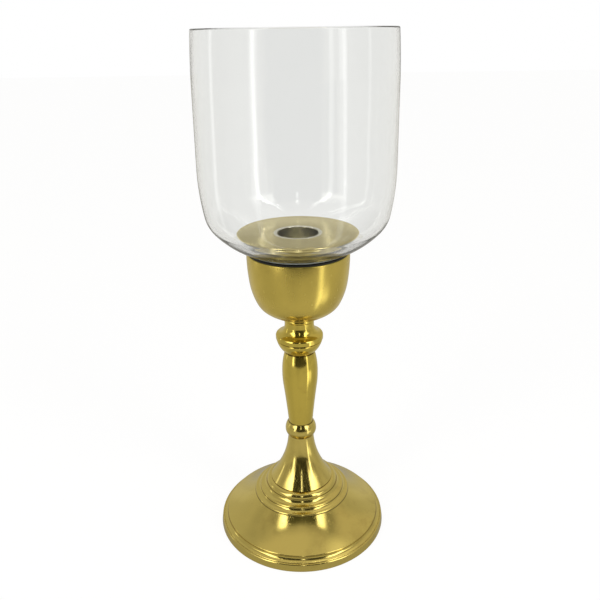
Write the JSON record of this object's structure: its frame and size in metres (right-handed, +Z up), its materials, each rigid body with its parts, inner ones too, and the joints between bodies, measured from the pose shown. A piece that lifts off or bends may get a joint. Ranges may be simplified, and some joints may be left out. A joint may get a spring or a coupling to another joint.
{
  "type": "pillar candle holder",
  "caption": "Turned brass candle stand with a round foot and cup, carrying an open clear glass shade over a flat candle plate with a central socket.",
  "frame": {"origin": "centre of the ring face the foot stands on", "axes": "+Z up along the stem; X and Y lie in the standing face and are equal, as the object is round"},
  "size_m": [0.1554, 0.1554, 0.4318],
  "materials": {
    "brass": "polished, lightly worn",
    "steel": "zinc plated",
    "rubber": "matt black",
    "glass": "clear, faint green edge"
  },
  "bodies": {
    "stand": {"foot_dish": "brass", "stem_trumpet": "brass", "stem_bead": "brass", "stem_baluster": "brass", "stem_collar": "brass", "cup": "brass", "tie_rod": "steel", "foot_washer": "steel", "lock_washer": "steel", "foot_nut": "steel", "cup_washer": "steel", "cup_nut": "steel", "rim_gasket": "rubber"},
    "shade": {"glass_shade": "glass"},
    "candle_tray": {"candle_plate": "brass", "candle_socket": "brass", "plate_ring": "rubber"}
  },
  "joints": [
    {"name": "shade_lift", "type": "slide", "parent": "stand", "child": "shade", "axis": [0, 0, 1], "range_m": [0, 0.06]},
    {"name": "tray_lift", "type": "slide", "parent": "shade", "child": "candle_tray", "axis": [0, 0, 1], "range_m": [0, 0.2]}
  ]
}
